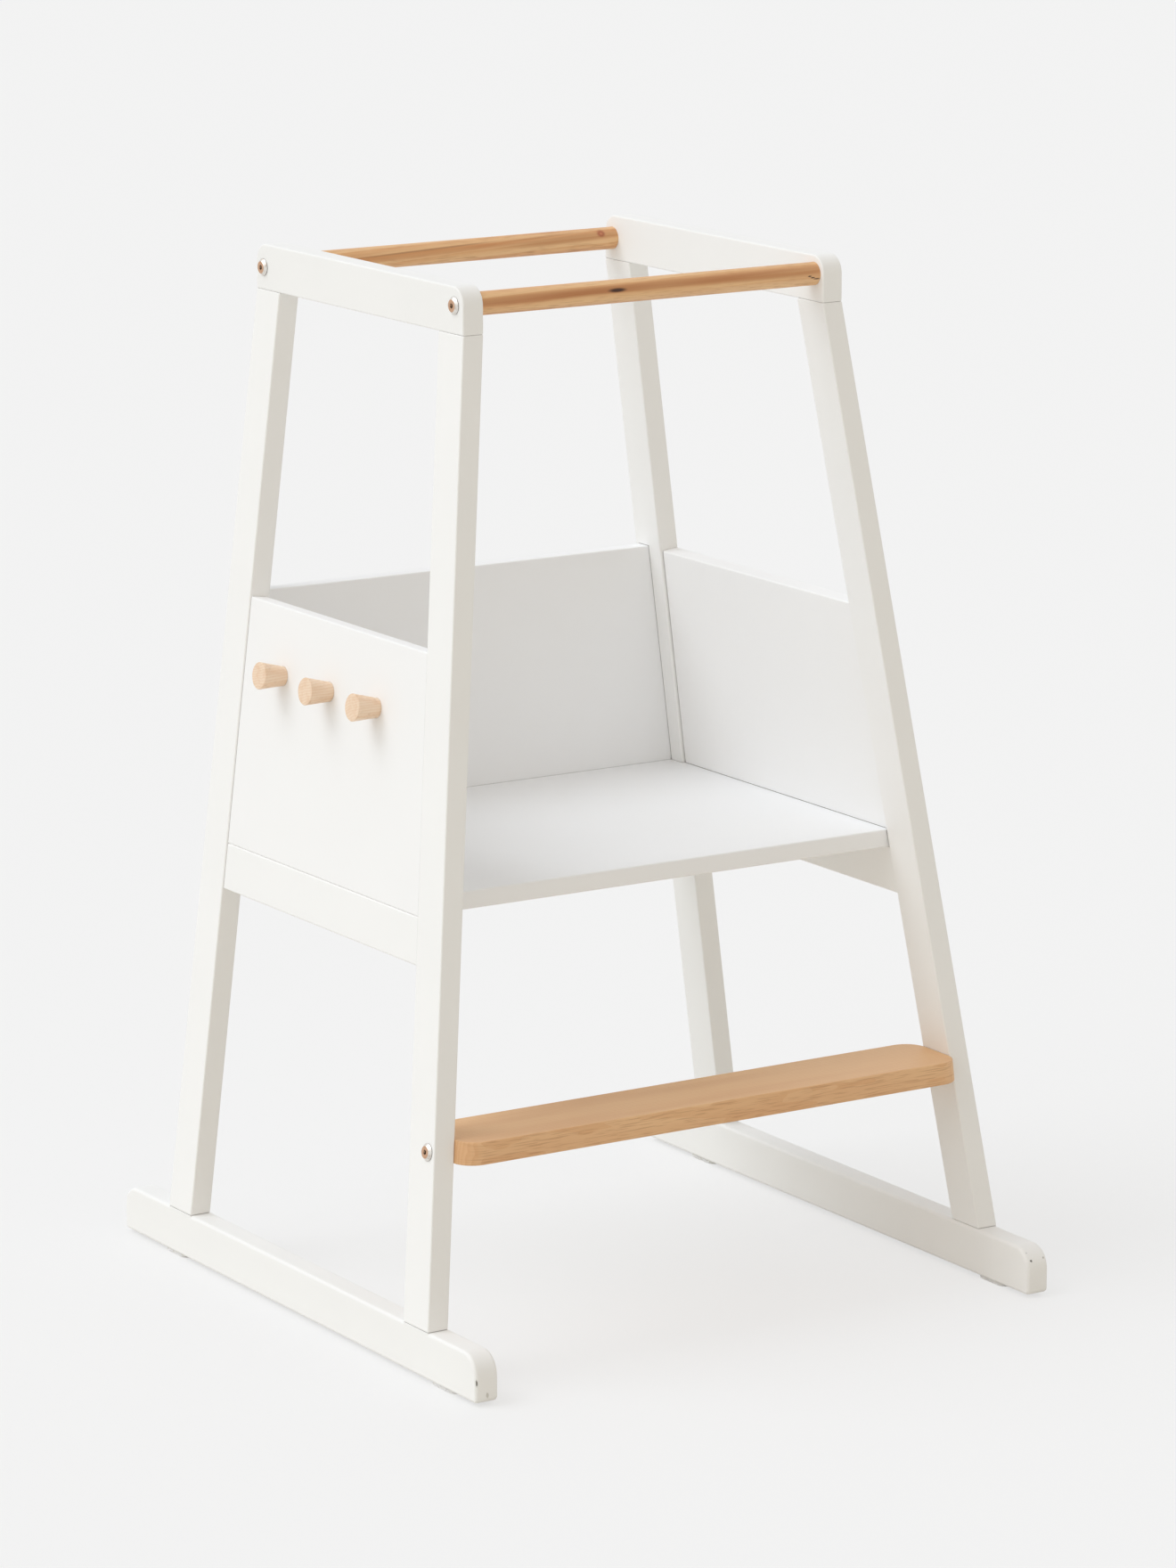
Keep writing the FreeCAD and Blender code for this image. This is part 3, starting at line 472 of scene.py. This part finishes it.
@dataclass(frozen=True)
class PlatedMetal(Finish):
    """Cold-headed steel under bright nickel, or bare turned brass.

    It gives the eye a bright bevel, and a head face painted a warmer tan as a painted reflection of the
    wood, with fine tool marks that spread the shine, and painted shade that darkens the socket. Lengths are
    in mm.
    """

    bevel: str = "#E9E6E0"
    # Painted reflection: the face square to the stool's sides is coloured tan, as if it mirrored the wood.
    flat: str = "#D9AE8E"
    flat_from: float = 0.96  # a face this square to the stool's sides is the head's flat
    tarnish: str = "#A5896F"
    tarnish_size: float = 3.0
    tarnish_edge: tuple[float, float] = (0.4, 0.8)  # the noise levels at which it starts, and is full
    tarnish_amount: float = 0.6
    # Painted shade: the next four settings darken the socket and other closed-in places.
    painted_recess_shade: str = "#120D0A"
    recess_shade_reach: float = 1.3  # a wall this near darkens a place with painted shade
    recess_shade_edge: tuple[float, float] = (0.55, 0.85)  # the open share at which it is full, and gone
    recess_shade_samples: int = 8
    tool_mark: float = 0.35  # real marks are 0.05 mm apart: drawn coarser so that they show
    mark_strength: float = 0.08
    mark_depth: float = 0.05
    roughness: tuple[float, float] = (0.24, 0.38)

    def dress(self, tree: bpy.types.NodeTree, shader: bpy.types.Node) -> None:
        """Feed the shader with the metal's tones, the painted reflection on the head's face, the tool's fine
        marks and the painted shade in the socket.

        Args:
            tree: the material's node tree.
            shader: its Principled shader.
        """
        point = self.millimetres(tree)
        # Painted reflection: faces square to the stool's sides take the warmer tan colour.
        facing = add_node(tree, "TexCoord").outputs["Normal"]
        sideways = add_node(tree, "SeparateXYZ", inputs={0: facing}).outputs[0]
        square = add_node(tree, "Math", {"operation": "ABSOLUTE"}, {0: sideways})
        is_flat = add_node(tree, "Math", {"operation": "GREATER_THAN"},
                           {0: square.outputs[0], 1: self.flat_from})
        painted_reflection_tone = add_node(tree, "Mix", {"data_type": "RGBA"}, {
            "Factor": is_flat.outputs[0], 6: linear(self.bevel), 7: linear(self.flat)})
        cloud = add_node(tree, "TexNoise", inputs={
            "Vector": self.stretched(tree, point, (self.tarnish_size,) * 3), "Scale": 1.0, "Detail": 3.0})
        dulled = add_node(tree, "MapRange", inputs={
            "Value": cloud.outputs["Fac"], "From Min": self.tarnish_edge[0],
            "From Max": self.tarnish_edge[1], "To Max": self.tarnish_amount})
        tone = add_node(tree, "Mix", {"data_type": "RGBA"}, {
            "Factor": dulled.outputs[0], 6: painted_reflection_tone.outputs[2], 7: linear(self.tarnish)})
        marks = add_node(tree, "TexNoise", inputs={
            "Vector": self.stretched(tree, point, (self.tool_mark,) * 3), "Scale": 1.0, "Detail": 1.0})
        sheen = add_node(tree, "MapRange", inputs={
            "Value": marks.outputs["Fac"], "To Min": self.roughness[0], "To Max": self.roughness[1]})
        relief = add_node(tree, "Bump", inputs={
            "Strength": self.mark_strength, "Distance": self.mark_depth / MM_PER_METRE,
            "Height": marks.outputs["Fac"]})
        # Painted shade: the less open the place, the nearer its colour goes to the dark recess colour.
        open_share = add_node(tree, "AmbientOcclusion", {"samples": self.recess_shade_samples}, {
            "Distance": self.recess_shade_reach / MM_PER_METRE}).outputs["AO"]
        hidden = add_node(tree, "MapRange", inputs={
            "Value": open_share, "From Min": self.recess_shade_edge[0], "From Max": self.recess_shade_edge[1],
            "To Min": 1.0, "To Max": 0.0})
        shaded = add_node(tree, "Mix", {"data_type": "RGBA"}, {
            "Factor": hidden.outputs[0], 6: tone.outputs[2], 7: linear(self.painted_recess_shade)})
        tree.links.new(shaded.outputs[2], shader.inputs["Base Color"])
        tree.links.new(sheen.outputs[0], shader.inputs["Roughness"])
        tree.links.new(relief.outputs[0], shader.inputs["Normal"])
        shader.inputs["Metallic"].default_value = 1.0


@dataclass(frozen=True)
class MouldedPolythene(Finish):
    """Natural polythene, injection moulded.

    It gives the eye a milky white that lets a little light through at the thin edge, with the dull
    skin of a textured mould. Lengths are in mm.
    """

    body: str = "#FAFAF7"
    scuffed: str = "#D9D7CF"
    scuff_size: tuple[float, float, float] = (5.0, 9.0, 3.0)
    scuff_edge: tuple[float, float] = (0.45, 0.75)  # the noise levels at which a scuff starts, and is full
    mould_texture: float = 0.9  # drawn coarser than the real 0.2 mm so that it shows
    mould_strength: float = 0.2
    mould_depth: float = 0.1
    roughness: tuple[float, float] = (0.38, 0.6)
    ior: float = 1.51
    glow: float = 0.6  # how much of the light passes into the plastic before it comes back
    glow_reach: tuple[float, float, float] = (6.0, 6.0, 5.0)  # how far red, green and blue travel in it

    def dress(self, tree: bpy.types.NodeTree, shader: bpy.types.Node) -> None:
        """Feed the shader with the plastic's milky body, scuffs and mould texture.

        Args:
            tree: the material's node tree.
            shader: its Principled shader.
        """
        point = self.millimetres(tree)
        scuff = add_node(tree, "TexNoise", inputs={
            "Vector": self.stretched(tree, point, self.scuff_size), "Scale": 1.0, "Detail": 4.0})
        worn = add_node(tree, "MapRange", {"interpolation_type": "SMOOTHSTEP"}, {
            "Value": scuff.outputs["Fac"], "From Min": self.scuff_edge[0], "From Max": self.scuff_edge[1]})
        tone = add_node(tree, "Mix", {"data_type": "RGBA"}, {
            "Factor": worn.outputs[0], 6: linear(self.body), 7: linear(self.scuffed)})
        skin = add_node(tree, "TexNoise", inputs={
            "Vector": self.stretched(tree, point, (self.mould_texture,) * 3), "Scale": 1.0, "Detail": 2.0})
        relief = add_node(tree, "Bump", inputs={
            "Strength": self.mould_strength, "Distance": self.mould_depth / MM_PER_METRE,
            "Height": skin.outputs["Fac"]})
        sheen = add_node(tree, "MapRange", inputs={
            "Value": worn.outputs[0], "To Min": self.roughness[0], "To Max": self.roughness[1]})
        tree.links.new(tone.outputs[2], shader.inputs["Base Color"])
        tree.links.new(sheen.outputs[0], shader.inputs["Roughness"])
        tree.links.new(relief.outputs[0], shader.inputs["Normal"])
        shader.inputs["IOR"].default_value = self.ior
        shader.inputs["Subsurface Weight"].default_value = self.glow
        radius = [reach / MM_PER_METRE for reach in self.glow_reach]
        shader.inputs["Subsurface Radius"].default_value = radius
        shader.inputs["Subsurface Scale"].default_value = 1.0


def put_on(nodes: list[str], finish: Finish) -> None:
    """Give CAD pieces a finish.

    Args:
        nodes: the pieces' node names.
        finish: what they are finished with.
    """
    made = finish.material()
    for name in nodes:
        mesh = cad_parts[name].data
        mesh.materials.clear()
        mesh.materials.append(made)
        log.info("%s: %s", name, finish.name)


@dataclass
class SideFrames:
    """The two lacquered side frames, with the panels and rails in them."""

    sides: tuple[str, str] = ("left", "right")
    chips: tuple[Mark, ...] = (
        Mark((-291.0, -305.0, 21.0), 4.4, 0.85, "#6A6860", 0.95),
        Mark((-280.7, -305.0, 9.3), 3.2, 1.0, "#B5B1A5", 0.55),
        Mark((275.0, -302.6, 33.4), 1.3, 0.85, "#55514A", 0.9),
        Mark((288.4, -302.5, 34.4), 1.5, 0.75, "#8C877A", 0.6),
        Mark((273.6, -298.0, 40.0), 1.2, 0.75, "#A3A5AD", 0.5),
    )

    def dress(self) -> None:
        """Lacquer the boards, each with its own grain direction."""
        upright = [f"{side}_{leg}_leg" for side in self.sides for leg in ("front", "rear")]
        level = [f"{side}_{rail}" for side in self.sides for rail in ("top_rail", "lower_rail")]
        put_on(upright, SprayedLacquer("lacquered_beech_upright", grain=Axis.UPRIGHT))
        put_on(level, SprayedLacquer("lacquered_beech_level", grain=Axis.DEPTH))
        put_on([f"{side}_runner" for side in self.sides],
               SprayedLacquer("lacquered_beech_runner", grain=Axis.DEPTH, chips=self.chips))
        # The panels' joints get stronger painted shade than the frames' joints.
        put_on([f"{side}_side_panel" for side in self.sides], SprayedLacquer(
            "lacquered_board_panel", film="#FBFBFB", thin_film="#F8F8F8", painted_shade_strength=0.5))


@dataclass
class StandingPlace:
    """The lacquered platform and back panel."""

    boards: tuple[str, ...] = ("platform", "back_panel")

    def dress(self) -> None:
        """Lacquer both boards."""
        # The platform's and back panel's joints get the strongest painted shade.
        put_on(list(self.boards), SprayedLacquer(
            "lacquered_board_platform", film="#FBFCFD", thin_film="#F8F9FB", tone_patch=110.0,
            painted_shade_strength=0.85))


@dataclass
class BeechPieces:
    """The oiled beech: two grab bars, the front step and three pegs, with the dowels in bare beech."""

    front_knots: tuple[Mark, ...] = (
        Mark((-36.0, -121.5, 886.3), 9.5, 1.9, "#452713", 1.0),
        # The other three make the crack near the bar's right end.
        Mark((159.0, -121.3, 883.4), 2.4, 0.8, "#2E190C", 1.0),
        Mark((162.2, -121.5, 882.0), 2.6, 0.7, "#2E190C", 1.0),
        Mark((166.4, -121.7, 880.8), 3.6, 0.6, "#3A2110", 0.95),
    )
    front_streaks: tuple[Mark, ...] = (
        Mark((-110.0, -121.5, 888.0), 115.0, 4.0, "#B06A38", 0.55),
        Mark((10.0, -121.2, 887.8), 130.0, 3.6, "#B06A38", 0.5),
        Mark((125.0, -121.0, 886.2), 110.0, 4.2, "#B46F3E", 0.5),
        Mark((60.0, -120.0, 877.6), 190.0, 3.0, "#F6D3A8", 0.45),
    )
    # One red-brown knot with a paler middle.
    rear_knots: tuple[Mark, ...] = (
        Mark((152.7, 200.0, 885.3), 4.4, 3.2, "#A9553A", 0.8),
        Mark((152.7, 200.0, 885.3), 2.0, 1.3, "#D08A62", 0.7),
    )
    rear_streaks: tuple[Mark, ...] = (
        Mark((-40.0, 199.3, 882.0), 120.0, 3.4, "#C47A42", 0.42),
        Mark((-10.0, 199.5, 885.0), 130.0, 0.9, "#93552B", 0.5),
        Mark((110.0, 199.8, 883.5), 60.0, 1.3, "#A5622F", 0.5),
        Mark((125.0, 199.5, 878.8), 80.0, 3.8, "#B4713F", 0.5),
    )
    pegs: tuple[str, ...] = ("front_peg", "middle_peg", "rear_peg")
    peg_log_step: float = 90.0  # mm between the pegs' places in the log
    hidden: tuple[str, ...] = ("left_frame_dowels", "right_frame_dowels", "platform_dowels", "step_pins")

    def dress(self) -> None:
        """Oil the bars, step and pegs, each cut from its own part of the log."""
        put_on(["front_grab_bar"], OiledBeech(
            "oiled_beech_front_bar", early_wood="#EFC492", late_wood="#DA9E67", pith=(-190.0, 700.0),
            log_radius=200.0, slope=0.013, ring_width=6.0, band_amount=0.45,
            streaks=self.front_streaks, knots=self.front_knots))
        put_on(["rear_grab_bar"], OiledBeech(
            "oiled_beech_rear_bar", early_wood="#EFC492", late_wood="#DA9E67", pith=(120.0, 690.0),
            log_radius=210.0, slope=0.035, ring_width=6.0, band_amount=0.55,
            streaks=self.rear_streaks, knots=self.rear_knots))
        put_on(["front_step"], OiledBeech(
            "oiled_beech_step", early_wood="#EEC394", late_wood="#E1AE7D", band="#D09262", band_width=26.0,
            band_amount=0.25, fleck_amount=0.28, fleck_size=(22.0, 30.0, 1.25), fleck_edge=(0.50, 0.66)))
        for index, peg in enumerate(self.pegs):
            put_on([peg], OiledBeech(
                "oiled_beech_" + peg, pith=(self.peg_log_step * (index - 1), 435.0), log_radius=102.0,
                early_wood="#F6DDC4", late_wood="#E9C6A2", band="#E3B68C", fleck="#B5825A",
                band_width=6.0, band_amount=0.35, fleck_size=(5.0, 8.0, 1.1), ring_width=2.4))
        put_on(list(self.hidden), OiledBeech(
            "bare_beech_dowels", early_wood="#E6C8A2", late_wood="#D3AC7F", roughness=(0.6, 0.75)))


@dataclass
class Hardware:
    """The bolts, the threaded sleeves that they turn in, and the floor glides."""

    bolts: tuple[str, ...] = ("bar_bolts", "step_bolts")
    sleeves: tuple[str, ...] = ("bar_inserts", "step_inserts")

    def dress(self) -> None:
        """Plate the bolts, leave the sleeves in bare brass and mould the glides."""
        put_on(list(self.bolts), PlatedMetal("nickel_plated_steel"))
        # The sleeves' faces get the same painted reflection colouring.
        put_on(list(self.sleeves), PlatedMetal("turned_brass", bevel="#DCC07E", flat="#D2B36C",
                                               tarnish="#A98A48", roughness=(0.28, 0.42)))
        put_on(["floor_glides"], MouldedPolythene("moulded_polythene"))


@dataclass(frozen=True)
class Lamp:
    """A broad soft lamp: where it hangs and how wide it looks, in degrees, and its strength and tint."""

    name: str
    azimuth: float
    elevation: float
    width: float
    level: float
    tint: str


@dataclass
class Studio:
    """The pale floor, the soft lights and the camera. Lengths are in metres and angles in degrees."""

    floor_reach: float = 60.0
    floor_cells: int = 12
    floor_drop: float = 0.0001
    floor_paper: str = "#E4E1D9"
    floor_show: str = "#F5F5F5"  # what the camera sees of the floor and the room
    flat_share: float = 0.68  # how much of the floor's look is its own white, and not its shading
    room_plain: str = "#FBFDFF"
    room_warm: str = "#FFF5E6"  # the light that comes from in front of the stool
    room_level: float = 0.70
    window_level: float = 0.12  # what a bright wall on the left adds
    window_edge: tuple[float, float] = (0.0, -0.9)  # how far to the right it starts, and is full
    front_drop: float = 0.10  # what the darker wall behind the camera takes away
    front_edge: tuple[float, float] = (0.2, -0.8)  # how far to the back it starts, and is full
    lamps: tuple[Lamp, ...] = (
        Lamp("key_softbox", 147.7, 54.0, 36.0, 0.84, "#F4F9FF"),
        Lamp("side_softbox", 180.0, 34.0, 45.0, 0.34, "#FBFDFF"),
    )
    lamp_distance: float = 4.0
    camera_place: tuple[float, float, float] = (-2.82797, -4.49777, 1.61005)
    camera_yaw: float = -32.26
    camera_pitch: float = -12.47
    camera_roll: float = -0.11
    camera_lens: float = 143.02
    camera_sensor: float = 36.0
    camera_sight: float = 500.0

    def build(self) -> None:
        """Set up the view settings, floor, room light, lamps and camera."""
        bpy.context.scene.view_settings.view_transform = "Standard"
        self.lay_floor()
        self.light_room()
        for lamp in self.lamps:
            self.hang(lamp)
        self.place_camera()

    def seen_directly(self, tree: bpy.types.NodeTree) -> bpy.types.NodeSocket:
        """Tell the rays that show the studio from the rays that light the object.

        Args:
            tree: the material's or world's node tree.

        Returns:
            1 for rays from the camera and through gloss or glass, and 0 for the others.
        """
        path = add_node(tree, "LightPath").outputs
        gloss = add_node(tree, "Math", {"operation": "MAXIMUM"},
                         {0: path["Is Glossy Ray"], 1: path["Is Transmission Ray"]})
        seen = add_node(tree, "Math", {"operation": "MAXIMUM"},
                        {0: path["Is Camera Ray"], 1: gloss.outputs[0]})
        return seen.outputs[0]

    def lay_floor(self) -> None:
        """Lay a sheet of pale paper that keeps the object's shadow."""
        sheet = bmesh.new()
        bmesh.ops.create_grid(
            sheet, x_segments=self.floor_cells, y_segments=self.floor_cells, size=self.floor_reach)
        mesh = bpy.data.meshes.new("studio_floor")
        sheet.to_mesh(mesh)
        sheet.free()
        floor = bpy.data.objects.new("studio_floor", mesh)
        floor.location.z = -self.floor_drop
        bpy.context.scene.collection.objects.link(floor)
        paper = bpy.data.materials.new("studio_paper")
        paper.use_nodes = True
        tree = paper.node_tree
        tree.nodes.clear()
        direct = self.seen_directly(tree)
        tone = add_node(tree, "Mix", {"data_type": "RGBA"}, {
            "Factor": direct, 6: linear(self.floor_paper), 7: linear(self.floor_show)})
        lit = add_node(tree, "BsdfDiffuse", inputs={"Color": tone.outputs[2]})
        white = add_node(tree, "Emission", inputs={"Color": linear(self.floor_show), "Strength": 1.0})
        share = add_node(tree, "Math", {"operation": "MULTIPLY"}, {0: direct, 1: self.flat_share})
        both = add_node(tree, "MixShader", inputs={
            0: share.outputs[0], 1: lit.outputs[0], 2: white.outputs[0]})
        add_node(tree, "OutputMaterial", inputs={"Surface": both.outputs[0]})
        mesh.materials.append(paper)

    def light_room(self) -> None:
        """Fill the room with soft light: warmer and a little darker in front, and brighter on the left.

        The camera sees the plain pale background in its place.
        """
        world = bpy.data.worlds.new("studio_room")
        bpy.context.scene.world = world
        world.use_nodes = True
        tree = world.node_tree
        tree.nodes.clear()
        towards = add_node(tree, "SeparateXYZ", inputs={0: add_node(tree, "TexCoord").outputs["Generated"]})
        in_front = add_node(tree, "MapRange", inputs={
            "Value": towards.outputs[1], "From Min": self.front_edge[0], "From Max": self.front_edge[1]})
        tint = add_node(tree, "Mix", {"data_type": "RGBA"}, {
            "Factor": in_front.outputs[0], 6: linear(self.room_plain), 7: linear(self.room_warm)})
        on_left = add_node(tree, "MapRange", {"interpolation_type": "SMOOTHSTEP"}, {
            "Value": towards.outputs[0], "From Min": self.window_edge[0], "From Max": self.window_edge[1],
            "To Min": self.room_level, "To Max": self.room_level + self.window_level})
        level = add_node(tree, "Math", {"operation": "MULTIPLY_ADD"}, {
            0: in_front.outputs[0], 1: -self.front_drop, 2: on_left.outputs[0]})
        fill = add_node(tree, "Background", inputs={"Color": tint.outputs[2], "Strength": level.outputs[0]})
        shown = add_node(tree, "Background", inputs={"Color": linear(self.floor_show), "Strength": 1.0})
        both = add_node(tree, "MixShader", inputs={
            0: self.seen_directly(tree), 1: fill.outputs[0], 2: shown.outputs[0]})
        add_node(tree, "OutputWorld", inputs={"Surface": both.outputs[0]})

    def hang(self, lamp: Lamp) -> None:
        """Hang one lamp as a sun, so that it lights the whole floor evenly.

        Args:
            lamp: the lamp's place, width and strength.
        """
        light = bpy.data.lights.new(lamp.name, "SUN")
        light.energy = lamp.level
        light.color = linear(lamp.tint)[:3]
        light.angle = math.radians(lamp.width)
        hung = bpy.data.objects.new(lamp.name, light)
        turn, lift = math.radians(lamp.azimuth), math.radians(lamp.elevation)
        towards = Vector((math.cos(turn) * math.cos(lift), math.sin(turn) * math.cos(lift), math.sin(lift)))
        hung.location = towards * self.lamp_distance
        hung.rotation_euler = towards.to_track_quat("Z", "Y").to_euler()
        bpy.context.scene.collection.objects.link(hung)

    def place_camera(self) -> None:
        """Put the camera where the photograph was taken from."""
        angles = (self.camera_yaw, self.camera_pitch, self.camera_roll)
        yaw, pitch, roll = (math.radians(angle) for angle in angles)
        forward = Vector((-math.sin(yaw) * math.cos(pitch), math.cos(yaw) * math.cos(pitch),
                          math.sin(pitch)))
        right = Vector((math.cos(yaw), math.sin(yaw), 0.0))
        up = right.cross(forward)
        right, up = (right * math.cos(roll) + up * math.sin(roll),
                     up * math.cos(roll) - right * math.sin(roll))
        camera = bpy.data.cameras.new("photograph_view")
        camera.sensor_fit = "AUTO"
        camera.sensor_width = self.camera_sensor
        camera.lens = self.camera_lens
        camera.clip_end = self.camera_sight
        seat = bpy.data.objects.new("photograph_view", camera)
        turned = Matrix((right, up, -forward)).transposed().to_4x4()
        seat.matrix_world = Matrix.Translation(self.camera_place) @ turned
        bpy.context.scene.collection.objects.link(seat)
        bpy.context.scene.camera = seat


def main() -> None:
    """Dress every piece of the stool and set up the studio."""
    logging.basicConfig(level=logging.INFO, format="%(message)s")
    for assembly in (SideFrames(), StandingPlace(), BeechPieces(), Hardware()):
        assembly.dress()
    Studio().build()


if __name__ == "__main__":
    main()
